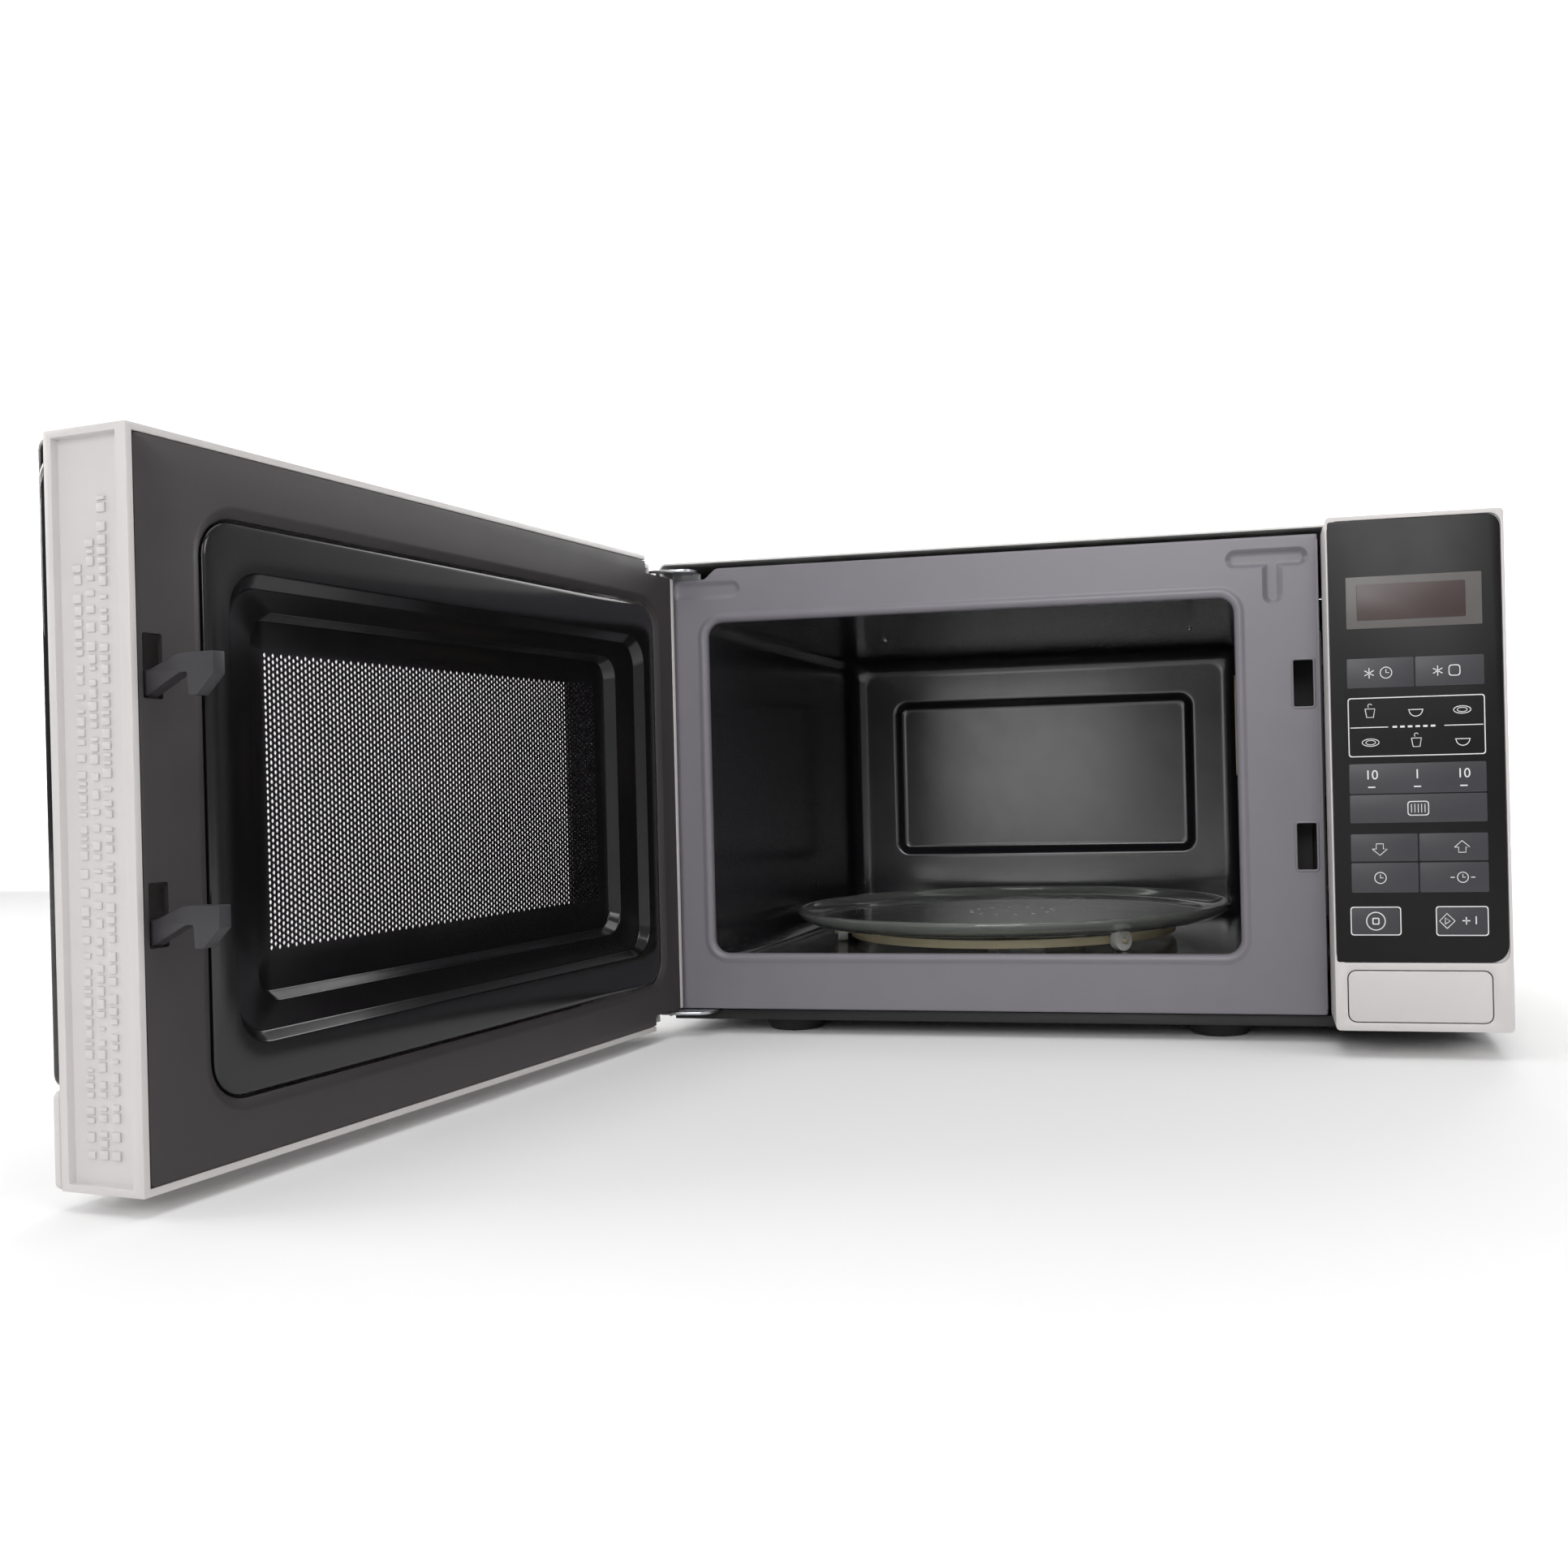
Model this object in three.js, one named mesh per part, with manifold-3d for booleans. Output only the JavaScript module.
// Compact countertop microwave oven with its side-hinged door standing open.
// Millimetres, +Z up. While building, X runs from the hinge side to the control side, Y from the front
// plate to the back, and Z is 0 at the lower edge of the front plate. The last lines move the whole
// group so that the origin is under the middle of its box.
import * as THREE from 'three';
import { mergeVertices } from 'three/addons/utils/BufferGeometryUtils.js';
import Module from 'manifold-3d';

const wasm = await Module();
wasm.setup();

// ---------------------------------------------------------------- driving dimensions
const GAP = 0.3; // between pieces that touch
const SHEET = 1.2; // steel sheet
const COVER_SHEET = 1.0;
const PLASTIC = 2.2; // moulded wall

const BODY_WIDTH = 432;
const BODY_DEPTH = 320; // front plate to the outside of the back
const PLATE_HEIGHT = 241; // front plate
const FRONT_DEPTH = 40.5; // how far door and control panel stand in front of the plate
const TABLE_DROP = 14; // front plate's lower edge above the table

const CAVITY_WIDTH = 282;
const CAVITY_DEPTH = 306;
const CAVITY_LEFT = 27.4;
const CAVITY_FLOOR = 23;
const CAVITY_HEIGHT = 188.3;
const CAVITY_CORNER = 8;
const MOUTH_SILL = 30.3; // lower edge of the mouth in the front plate
const BACK_PRESSING = { width: 212, height: 107, above: 47.5, depth: 4 };

const CONTROL_WIDTH = 79.5;
const DOOR_GAP = 1; // door's inner face to the front plate
const DOOR_SIDE_GAP = 1.3; // door's free edge to the control panel
const DOOR_ABOVE = 4; // door above the front plate
const DOOR_BOTTOM = -7;
const DOOR_OPEN = 97.7; // degrees
const PIVOT_INSET = 3.6; // pivot from the door's hinge edge
const PIVOT_FORWARD = 7; // pivot in front of the front plate
const PIN_RADIUS = 2.2;
const PIN_PLAY = 0.3;

const PLATE_CLEARANCE = 6.5; // glass turntable plate to the nearest cavity wall
const PLATE_RIM_HEIGHT = 9.5;
const GLASS = 4;
const ROLLER_RADIUS = 5.75;
const ROLLER_WIDTH = 6;
const ROLLER_INSET = 28; // roller track inside the plate's edge
const ROLLER_COUNT = 3;
const ROLLER_FIRST = -46; // degrees from +X

const HOOK_CENTRE = 8.5; // hooks from the door's free edge
const HOOK_THICK = 5;
const HOOK_REACH = 28; // from the door's inner face to the hook's nose
const HOOK_LIFT = 6;
const HOOK_BOTTOMS = [73.8, 155.6]; // lower faces of the two hook heads

const FAN_RADIUS = 48;

// ---------------------------------------------------------------- derived places
const PANEL_LEFT = BODY_WIDTH - CONTROL_WIDTH;
const DOOR_WIDTH = PANEL_LEFT - DOOR_SIDE_GAP;
const PLATE_LEFT = COVER_SHEET + 0.5;
const PLATE_RIGHT = PANEL_LEFT - 1.5;
const DOOR_TOP = PLATE_HEIGHT + DOOR_ABOVE;
const CAVITY_RIGHT = CAVITY_LEFT + CAVITY_WIDTH;
const CAVITY_CEILING = CAVITY_FLOOR + CAVITY_HEIGHT;
const CAVITY_MIDDLE = CAVITY_LEFT + CAVITY_WIDTH / 2;
const CAVITY_MIDDLE_Y = CAVITY_DEPTH / 2;
const PLATE_RADIUS = Math.min(CAVITY_WIDTH, CAVITY_DEPTH) / 2 - PLATE_CLEARANCE;
const ROLLER_TRACK = PLATE_RADIUS - ROLLER_INSET;
const BASE_TOP = -5.6;
const BASE_BOTTOM = BASE_TOP - COVER_SHEET;
const BACK_INNER = BODY_DEPTH - COVER_SHEET;
const COVER_TOP = PLATE_HEIGHT + 4.2;
const COVER_BOTTOM = -4.5;
const BAY_LEFT = CAVITY_RIGHT + SHEET; // electrical bay beside the cavity
const BAY_RIGHT = BODY_WIDTH - COVER_SHEET;
const BAY_MIDDLE = (BAY_LEFT + BAY_RIGHT) / 2;
const HOOK_X = DOOR_WIDTH - HOOK_CENTRE;
const PANEL_FRONT = -FRONT_DEPTH;
const ROLLER_AXIS_Z = CAVITY_FLOOR + GAP + ROLLER_RADIUS;
const PLATE_UNDERSIDE = ROLLER_AXIS_Z + ROLLER_RADIUS + GAP;

// ---------------------------------------------------------------- finishes
function finish(color, roughness, metalness = 0, opacity = 1) {
  return new THREE.MeshStandardMaterial({ color, roughness, metalness, opacity, transparent: opacity < 1 });
}
const GREY_ENAMEL = finish(0x8b8a8f, 0.35);
const BLACK_ENAMEL = finish(0x17161a, 0.15);
const BLACK_STEEL = finish(0x1b1b1d, 0.5);
const WHITE_COAT = finish(0xe9e7e6, 0.4);
const GALVANISED = finish(0xa3a6a8, 0.45, 0.9);
const SILVER_STEEL = finish(0xc9cacc, 0.3, 0.9);
const WHITE_ABS = finish(0xdad6d6, 0.5);
const DARK_ABS = finish(0x35322f, 0.6);
const HOOK_NYLON = finish(0x444343, 0.6);
const RUBBER = finish(0x1a1a1a, 0.8);
const CLEAR_GLASS = finish(0xbfc8c2, 0.1, 0, 0.45);
const DARK_GLASS = finish(0x0c0b0d, 0.08);
const CLEAR_FILM = finish(0xd0d0d0, 0.2, 0, 0.3);
const BEIGE_NYLON = finish(0xd9cdb2, 0.5);
const WHITE_NYLON = finish(0xf1efea, 0.45);
const MICA = finish(0xb9ad93, 0.7);
const BLACK_FILM = finish(0x1a181a, 0.3);
const CIRCUIT_BOARD = finish(0x2f5a35, 0.6);
const DISPLAY = finish(0x4d4141, 0.25);
const COPPER = finish(0xa86a3d, 0.4, 0.8);
const CORE_STEEL = finish(0x4a4c50, 0.55, 0.6);
const BLACK_PLASTIC = finish(0x1f1f20, 0.55);
const LAMP_GLASS = finish(0xf3ead2, 0.1, 0, 0.5);

// ---------------------------------------------------------------- solids
// A closed three.js geometry as a manifold solid.
function solid(geometry) {
  const bare = geometry.index ? geometry.toNonIndexed() : geometry.clone();
  bare.deleteAttribute('uv');
  bare.deleteAttribute('normal');
  const merged = mergeVertices(bare, 1e-4);
  return new wasm.Manifold(new wasm.Mesh({
    numProp: 3,
    vertProperties: new Float32Array(merged.attributes.position.array),
    triVerts: new Uint32Array(merged.index.array),
  }));
}

function geometryOf(body) {
  const { vertProperties, triVerts } = body.getMesh();
  const geometry = new THREE.BufferGeometry();
  geometry.setAttribute('position', new THREE.BufferAttribute(vertProperties, 3));
  geometry.setIndex(new THREE.BufferAttribute(triVerts, 1));
  return geometry;
}

function block([x0, x1], [y0, y1], [z0, z1]) {
  const geometry = new THREE.BoxGeometry(x1 - x0, y1 - y0, z1 - z0);
  geometry.translate((x0 + x1) / 2, (y0 + y1) / 2, (z0 + z1) / 2);
  return solid(geometry);
}

// Frames that carry a shape's own X, Y and depth onto two of the model's axes and the third.
const ONTO = {
  X: new THREE.Matrix4().makeBasis(axis(0, 1, 0), axis(0, 0, 1), axis(1, 0, 0)),
  Y: new THREE.Matrix4().makeBasis(axis(1, 0, 0), axis(0, 0, 1), axis(0, -1, 0)),
  Z: new THREE.Matrix4().identity(),
};
function axis(x, y, z) {
  return new THREE.Vector3(x, y, z);
}

// A flat outline carried straight along one axis: along X it is drawn in (y, z), along Y in (x, z),
// along Z in (x, y).
function prism(outline, along, [from, to], segments = 4) {
  const geometry = new THREE.ExtrudeGeometry(outline, {
    depth: to - from, bevelEnabled: false, curveSegments: segments,
  });
  geometry.translate(0, 0, along === 'Y' ? -to : from);
  geometry.applyMatrix4(ONTO[along]);
  return solid(geometry);
}

function roundedOutline([a0, a1], [b0, b1], r) {
  const outline = new THREE.Shape();
  outline.moveTo(a0 + r, b0);
  outline.lineTo(a1 - r, b0);
  outline.absarc(a1 - r, b0 + r, r, -Math.PI / 2, 0);
  outline.lineTo(a1, b1 - r);
  outline.absarc(a1 - r, b1 - r, r, 0, Math.PI / 2);
  outline.lineTo(a0 + r, b1);
  outline.absarc(a0 + r, b1 - r, r, Math.PI / 2, Math.PI);
  outline.lineTo(a0, b0 + r);
  outline.absarc(a0 + r, b0 + r, r, Math.PI, 1.5 * Math.PI);
  return outline;
}

function polygon(points) {
  return new THREE.Shape(points.map(([a, b]) => new THREE.Vector2(a, b)));
}

// A rod of round section from one end to the other along X, Y or Z, centred on the other two.
function rod(along, [from, to], centre, radius, segments = 24) {
  const geometry = new THREE.CylinderGeometry(radius, radius, to - from, segments);
  const middle = (from + to) / 2;
  if (along === 'X') geometry.rotateZ(-Math.PI / 2).translate(middle, centre[0], centre[1]);
  if (along === 'Y') geometry.translate(centre[0], middle, centre[1]);
  if (along === 'Z') geometry.rotateX(Math.PI / 2).translate(centre[0], centre[1], middle);
  return solid(geometry);
}

// A profile of [radius, height] points turned about a vertical axis at (x, y); it closes on itself or
// on the axis and runs counter-clockwise seen with the radius to the right.
function turned(profile, [x, y], segments = 48) {
  const points = profile.map(([r, z]) => new THREE.Vector2(r, z));
  const geometry = new THREE.LatheGeometry(points, segments);
  geometry.rotateX(Math.PI / 2).translate(x, y, 0);
  return solid(geometry);
}

function closed(profile) {
  return [...profile, profile[0]];
}

function joined(...bodies) {
  return bodies.reduce((sum, body) => sum.add(body));
}

function cut(body, ...tools) {
  return tools.reduce((rest, tool) => rest.subtract(tool), body);
}

// A span widened by the same amount at both ends, one about a centre, and one of a given length
// that starts a distance from an edge.
const grown = ([low, high], by) => [low - by, high + by];
const about = (centre, half) => [centre - half, centre + half];
const fromEdge = (edge, start, length) => [edge + start, edge + start + length];

function hollowBox([x0, x1], [y0, y1], [z0, z1], wall, openSides) {
  const inset = (side) => (openSides.includes(side) ? -1 : wall);
  const room = block(
    [x0 + inset('left'), x1 - inset('right')],
    [y0 + inset('front'), y1 - inset('back')],
    [z0 + inset('bottom'), z1 - inset('top')],
  );
  return block([x0, x1], [y0, y1], [z0, z1]).subtract(room);
}

// A coil spring standing on the origin: a round wire carried up a helix about Z.
function coilSpring(length, coilRadius, wireRadius, turns) {
  const helix = new THREE.Curve();
  const rise = length - 2 * wireRadius;
  helix.getPoint = (t, target = new THREE.Vector3()) => {
    const angle = t * turns * 2 * Math.PI;
    return target.set(coilRadius * Math.cos(angle), coilRadius * Math.sin(angle), wireRadius + rise * t);
  };
  const wire = new THREE.Shape().absarc(0, 0, wireRadius, 0, 2 * Math.PI);
  return new THREE.ExtrudeGeometry(wire, {
    extrudePath: helix, steps: turns * 10, curveSegments: 3, bevelEnabled: false,
  });
}

const oven = new THREE.Group();
function addTo(group, name, body, material) {
  const mesh = new THREE.Mesh(geometryOf(body), material);
  mesh.name = name;
  group.add(mesh);
  return mesh;
}
function add(name, body, material) {
  return addTo(oven, name, body, material);
}

// ---------------------------------------------------------------- cavity and front plate
const SLOT_WIDTH = HOOK_THICK + 4.6;
const SLOT_HEIGHT = 23.3;
const SLOT_BELOW_HOOK = 0.8;
const NOTCH = { left: 24, right: 35, height: 6.5 }; // passage for the upper hinge arm
const WAVE_PORT = { y: [115, 185], z: [128, 172] };
const AIR_PORT = { y: [48, 92], z: [168, 196] };
const LAMP_PORT = { y: 245, z: 186, radius: 7 };
const SHAFT_HOLE_RADIUS = 7;

function platePressing() {
  const outline = new THREE.Shape();
  outline.moveTo(PLATE_LEFT, 0);
  outline.lineTo(PLATE_RIGHT, 0);
  outline.lineTo(PLATE_RIGHT, PLATE_HEIGHT);
  outline.lineTo(NOTCH.right, PLATE_HEIGHT);
  outline.bezierCurveTo(
    NOTCH.right - 6, PLATE_HEIGHT, NOTCH.left + 6, PLATE_HEIGHT - NOTCH.height,
    NOTCH.left, PLATE_HEIGHT - NOTCH.height,
  );
  outline.lineTo(PLATE_LEFT, PLATE_HEIGHT - NOTCH.height);
  const sheet = prism(outline, 'Y', [0, SHEET], 8);
  const lowerFlange = block([PLATE_LEFT, PLATE_RIGHT], [0, 14], [0, SHEET]);
  const upperFlange = block([NOTCH.right, PLATE_RIGHT], [0, 12], [PLATE_HEIGHT - SHEET, PLATE_HEIGHT]);
  const flangeFront = GAP - DOOR_GAP; // clear of the shut door
  const sideFlange = block([PLATE_RIGHT - SHEET, PLATE_RIGHT], [flangeFront, SHEET], [3, PLATE_HEIGHT - 3]);
  return joined(sheet, lowerFlange, upperFlange, sideFlange);
}

function cavityTub() {
  const x = [CAVITY_LEFT, CAVITY_RIGHT];
  const z = [CAVITY_FLOOR, CAVITY_CEILING];
  const outside = roundedOutline(grown(x, SHEET), grown(z, SHEET), CAVITY_CORNER + SHEET);
  const shell = prism(outside, 'Y', [0, CAVITY_DEPTH + SHEET]);
  const pressX = [CAVITY_MIDDLE - BACK_PRESSING.width / 2, CAVITY_MIDDLE + BACK_PRESSING.width / 2];
  const pressLow = CAVITY_FLOOR + BACK_PRESSING.above;
  const pressZ = [pressLow, pressLow + BACK_PRESSING.height];
  const back = [CAVITY_DEPTH, CAVITY_DEPTH + BACK_PRESSING.depth];
  const pressing = prism(roundedOutline(grown(pressX, SHEET), grown(pressZ, SHEET), 5), 'Y',
    [back[0], back[1] + SHEET], 2);
  const pressed = prism(roundedOutline(pressX, pressZ, 4), 'Y', [back[0] - 1, back[1]], 2);
  const room = prism(roundedOutline(x, z, CAVITY_CORNER), 'Y', [SHEET, CAVITY_DEPTH]);
  const mouth = prism(roundedOutline(x, [MOUTH_SILL, CAVITY_CEILING], CAVITY_CORNER), 'Y', [-2, SHEET + 1]);
  return { body: joined(shell, pressing), holes: [room, pressed, mouth] };
}

function hookSlot(hookBottom) {
  const low = hookBottom - SLOT_BELOW_HOOK;
  return block(about(HOOK_X, SLOT_WIDTH / 2), [-1, SHEET + 1], fromEdge(low, 0, SLOT_HEIGHT));
}

const tub = cavityTub();
const wall = [CAVITY_RIGHT - 1, CAVITY_RIGHT + SHEET + 1];
const cavity = cut(
  joined(platePressing(), tub.body),
  ...tub.holes,
  ...HOOK_BOTTOMS.map(hookSlot),
  block(wall, WAVE_PORT.y, WAVE_PORT.z),
  block(wall, AIR_PORT.y, AIR_PORT.z),
  rod('X', wall, [LAMP_PORT.y, LAMP_PORT.z], LAMP_PORT.radius, 16),
  rod('Z', [CAVITY_FLOOR - SHEET - 1, CAVITY_FLOOR + 1], [CAVITY_MIDDLE, CAVITY_MIDDLE_Y],
    SHAFT_HOLE_RADIUS, 16),
);
add('cavity', cavity, GREY_ENAMEL);

const MICA_THICK = 0.8;
add('waveguide_cover', prism(
  roundedOutline([WAVE_PORT.y[0] - 8, WAVE_PORT.y[1] + 8], [WAVE_PORT.z[0] - 7, WAVE_PORT.z[1] + 7], 4),
  'X', [CAVITY_RIGHT - GAP - MICA_THICK, CAVITY_RIGHT - GAP], 2,
), MICA);

// ---------------------------------------------------------------- base, back, cover and feet
const BASE_LEFT = COVER_SHEET + GAP;
const BASE_RIGHT = BODY_WIDTH - BASE_LEFT;
const BASE_FRONT = 6;
const BASE_BACK = BACK_INNER - GAP;
const BASE_LIP_TOP = -1; // top of the pan's turned-up edge
const SUMP = { x: BODY_WIDTH - 63, y: 46, top: 38, bottom: 14, depth: 6.5 }; // pressed bowl

function basePan() {
  const x = [BASE_LEFT, BASE_RIGHT];
  const y = [BASE_FRONT, BASE_BACK];
  const rim = block(x, y, [BASE_BOTTOM, BASE_LIP_TOP]);
  const room = block(
    [x[0] + COVER_SHEET, x[1] - COVER_SHEET], [y[0] + COVER_SHEET, y[1] - COVER_SHEET],
    [BASE_TOP, BASE_LIP_TOP + 1],
  );
  const bowl = (inset, lift) => turned([
    [0, BASE_BOTTOM - SUMP.depth + lift], [SUMP.bottom - inset, BASE_BOTTOM - SUMP.depth + lift],
    [(SUMP.top + SUMP.bottom) / 2 - inset, BASE_BOTTOM - 0.72 * SUMP.depth + lift],
    [SUMP.top - inset, BASE_BOTTOM + lift], [SUMP.top - inset, BASE_BOTTOM + lift + 1],
    [0, BASE_BOTTOM + lift + 1],
  ], [SUMP.x, SUMP.y], 32);
  return cut(joined(rim, bowl(0, 0)), room, bowl(COVER_SHEET, COVER_SHEET));
}
add('base_plate', basePan(), BLACK_STEEL);

const INLET = { x: BODY_WIDTH - 34, z: 26, radius: 7 };
add('back_panel', cut(
  block([BASE_LEFT, BASE_RIGHT], [BACK_INNER, BODY_DEPTH], [COVER_BOTTOM, COVER_TOP - COVER_SHEET - GAP]),
  rod('Y', [BACK_INNER - 1, BODY_DEPTH + 1], [INLET.x, INLET.z], INLET.radius + GAP, 20),
), GALVANISED);
const INLET_FLANGE = 3;
add('cord_inlet', joined(
  rod('Y', [BACK_INNER - 9, BODY_DEPTH + 1], [INLET.x, INLET.z], INLET.radius, 20),
  rod('Y', [BODY_DEPTH + GAP, BODY_DEPTH + 4], [INLET.x, INLET.z], INLET.radius + INLET_FLANGE, 20),
), BLACK_PLASTIC);

const COVER_FRONT = 0.4;
add('cabinet_wrap', hollowBox(
  [0, BODY_WIDTH], [COVER_FRONT, BODY_DEPTH], [COVER_BOTTOM, COVER_TOP], COVER_SHEET,
  ['front', 'back', 'bottom'],
), WHITE_COAT);

const FOOT = { top: 18, bottom: 13 };
const FOOT_PLACES = {
  foot_front_left: [65, 28], foot_front_right: [SUMP.x - 71.5, 28],
  foot_rear_left: [65, BODY_DEPTH - 30], foot_rear_right: [BODY_WIDTH - 63, BODY_DEPTH - 30],
};
for (const [name, place] of Object.entries(FOOT_PLACES)) {
  add(name, turned([
    [0, -TABLE_DROP], [FOOT.bottom, -TABLE_DROP], [FOOT.bottom + 2, -TABLE_DROP + 1],
    [FOOT.top, BASE_BOTTOM - GAP], [0, BASE_BOTTOM - GAP],
  ], place, 24), RUBBER);
}

// ---------------------------------------------------------------- door hinges, fixed to the oven
const PIVOT = [PIVOT_INSET, -PIVOT_FORWARD];
const HINGE_SHEET = 1.5;
const UPPER_ARM = PLATE_HEIGHT - 2.6; // underside of the upper arm
const LOWER_ARM = -1.8; // underside of the lower arm
const PIN_LENGTH = 9;
const ARM_ROUND = 6;

function hingeArm(underside, backY, rightX) {
  const outline = new THREE.Shape();
  outline.moveTo(PIVOT[0], PIVOT[1] - ARM_ROUND);
  outline.lineTo(rightX - 9, PIVOT[1] - ARM_ROUND + 1.5);
  outline.quadraticCurveTo(rightX, PIVOT[1] - ARM_ROUND + 1.5, rightX, -0.4);
  outline.lineTo(rightX, backY);
  outline.lineTo(PLATE_LEFT + 6, backY);
  outline.lineTo(PLATE_LEFT + 2, -0.4);
  outline.lineTo(PIVOT[0] + 1, PIVOT[1] + ARM_ROUND);
  outline.absarc(PIVOT[0], PIVOT[1], ARM_ROUND, Math.PI / 2, 1.5 * Math.PI);
  return prism(outline, 'Z', [underside, underside + HINGE_SHEET], 6);
}
const hingePin = ([from, to]) => rod('Z', [from, to], PIVOT, PIN_RADIUS, 20);
const upperLeg = block(
  [PLATE_LEFT + 6, NOTCH.left], [SHEET + GAP, SHEET + GAP + HINGE_SHEET],
  [CAVITY_CEILING + SHEET + 2, UPPER_ARM + HINGE_SHEET],
);
add('hinge_upper', joined(
  hingeArm(UPPER_ARM, SHEET + GAP + HINGE_SHEET, NOTCH.left), upperLeg,
  hingePin([UPPER_ARM - PIN_LENGTH, UPPER_ARM + 1]),
), SILVER_STEEL);
add('hinge_lower', joined(
  hingeArm(LOWER_ARM, BASE_FRONT - GAP, NOTCH.left + 4),
  hingePin([LOWER_ARM, LOWER_ARM + HINGE_SHEET + PIN_LENGTH]),
), SILVER_STEEL);

// ---------------------------------------------------------------- latch board, release and switches
const CHANNEL = {
  left: HOOK_X - HOOK_THICK / 2 - 5.1, right: HOOK_X + HOOK_THICK / 2 + 4.7, wall: 2, back: 44,
  bottom: 50, top: 192,
};
const channelFront = SHEET + GAP;
const LIFTER = { back: 38, thick: 5, width: 8, finger: 5, rest: 0.5, bottom: 36 };
// Bell crank that turns the button's push into a lift: paddle hangs down, arm points back.
const LEVER = { y: 12, z: 30, hub: 4, pin: 2, paddle: 21, paddleFront: -3.7, arm: 24, armRise: 5.5 };

const LUG = { half: 7, below: 8 };
function latchBoard() {
  const outer = block(
    [CHANNEL.left - CHANNEL.wall, CHANNEL.right + CHANNEL.wall], [channelFront, CHANNEL.back],
    [CHANNEL.bottom, CHANNEL.top],
  );
  const room = block(
    [CHANNEL.left, CHANNEL.right], [channelFront + CHANNEL.wall, CHANNEL.back - CHANNEL.wall],
    [CHANNEL.bottom + CHANNEL.wall, CHANNEL.top - CHANNEL.wall],
  );
  const doorways = HOOK_BOTTOMS.map((bottom) => block(
    [CHANNEL.left + 1.2, CHANNEL.right - 1.2], [channelFront - 1, channelFront + CHANNEL.wall + 1],
    [bottom - 8, bottom + SLOT_HEIGHT + 1],
  ));
  const lifterWay = block(
    [CHANNEL.left + 1, CHANNEL.right - 1], [LIFTER.back - LIFTER.thick - 1.5, LIFTER.back + 1.5],
    [CHANNEL.bottom - 1, CHANNEL.bottom + CHANNEL.wall + 1],
  );
  const lug = (x) => block(
    fromEdge(x, 0, CHANNEL.wall), about(LEVER.y, LUG.half), [LEVER.z - LUG.below, CHANNEL.bottom + 1],
  );
  const lugs = joined(lug(CHANNEL.left - CHANNEL.wall), lug(CHANNEL.right));
  const pinBore = rod('X', [CHANNEL.left - CHANNEL.wall - 1, CHANNEL.left + 1], [LEVER.y, LEVER.z],
    LEVER.pin + GAP, 16);
  const hubBore = rod('X', [CHANNEL.right - 1, CHANNEL.right + CHANNEL.wall + 1], [LEVER.y, LEVER.z],
    LEVER.hub + GAP, 20);
  return cut(joined(outer, lugs), room, ...doorways, lifterWay, pinBore, hubBore);
}
add('latch_board', latchBoard(), WHITE_NYLON);

const HOOK_NOSE_Y = HOOK_REACH - DOOR_GAP;
function releaseLifter() {
  const x = [HOOK_X - LIFTER.width / 2, HOOK_X + LIFTER.width / 2];
  const barY = [LIFTER.back - LIFTER.thick, LIFTER.back];
  const fingerTop = (bottom) => bottom - LIFTER.rest - HOOK_LIFT;
  const bar = block(x, barY, [LIFTER.bottom, HOOK_BOTTOMS[1] - 2]);
  const fingers = HOOK_BOTTOMS.map((bottom) => block(
    x, [HOOK_NOSE_Y - 9, LIFTER.back], [fingerTop(bottom) - LIFTER.finger, fingerTop(bottom)],
  ));
  return joined(bar, ...fingers);
}
add('release_lifter', releaseLifter(), WHITE_NYLON);

// The button's stem stands in front of the lever's paddle.
const STEM = { x: [PANEL_LEFT + 10, PANEL_LEFT + 18], z: [10, 20], tipZ: [12, 16], tip: 4 };
const STEM_END = LEVER.y + LEVER.paddleFront - GAP;
function releaseLever() {
  const centre = [LEVER.y, LEVER.z];
  const hub = rod('X', [CHANNEL.left + GAP, STEM.x[1]], centre, LEVER.hub, 20);
  const pin = rod('X', [CHANNEL.left - CHANNEL.wall, CHANNEL.left + 1], centre, LEVER.pin, 16);
  const front = LEVER.y + LEVER.paddleFront;
  const paddle = block([STEM.x[0] - 1, STEM.x[1]], [front, front + 3], [LEVER.z - LEVER.paddle, LEVER.z]);
  const arm = block(
    [HOOK_X - 3, HOOK_X + 3], [LEVER.y, LEVER.y + LEVER.arm], [LEVER.z, LEVER.z + LEVER.armRise],
  );
  return joined(hub, pin, paddle, arm);
}
add('release_lever', releaseLever(), WHITE_NYLON);

const SWITCH = { thick: 9, depth: 22, height: 14, front: 12, tabs: [4, 11, 18], tabHeight: 6 };
const switchLeft = CHANNEL.right + CHANNEL.wall + GAP;
const SWITCH_HEIGHTS = { door_switch_lower: 74, door_switch_middle: 118, door_switch_upper: 162 };
for (const [name, z] of Object.entries(SWITCH_HEIGHTS)) {
  const body = block(
    fromEdge(switchLeft, 0, SWITCH.thick), fromEdge(SWITCH.front, 0, SWITCH.depth),
    fromEdge(z, 0, SWITCH.height),
  );
  const tabs = SWITCH.tabs.map((y) => block(
    fromEdge(switchLeft, SWITCH.thick - 1, 6), fromEdge(SWITCH.front, y - 0.5, 1),
    fromEdge(z, 4, SWITCH.tabHeight),
  ));
  add(name, joined(body, ...tabs), BLACK_PLASTIC);
}

// ---------------------------------------------------------------- electrical bay
const GUIDE = { y: grown(WAVE_PORT.y, 6), z: grown(WAVE_PORT.z, 6), width: 34 };
const guideRight = BAY_LEFT + GAP + GUIDE.width;
const ANTENNA = { y: 150, z: 150, radius: 7 };
add('waveguide', cut(
  hollowBox([BAY_LEFT + GAP, guideRight], GUIDE.y, GUIDE.z, SHEET, ['left']),
  rod('X', [guideRight - SHEET - 1, guideRight + 1], [ANTENNA.y, ANTENNA.z], ANTENNA.radius + 1.5, 20),
), GALVANISED);

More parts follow.
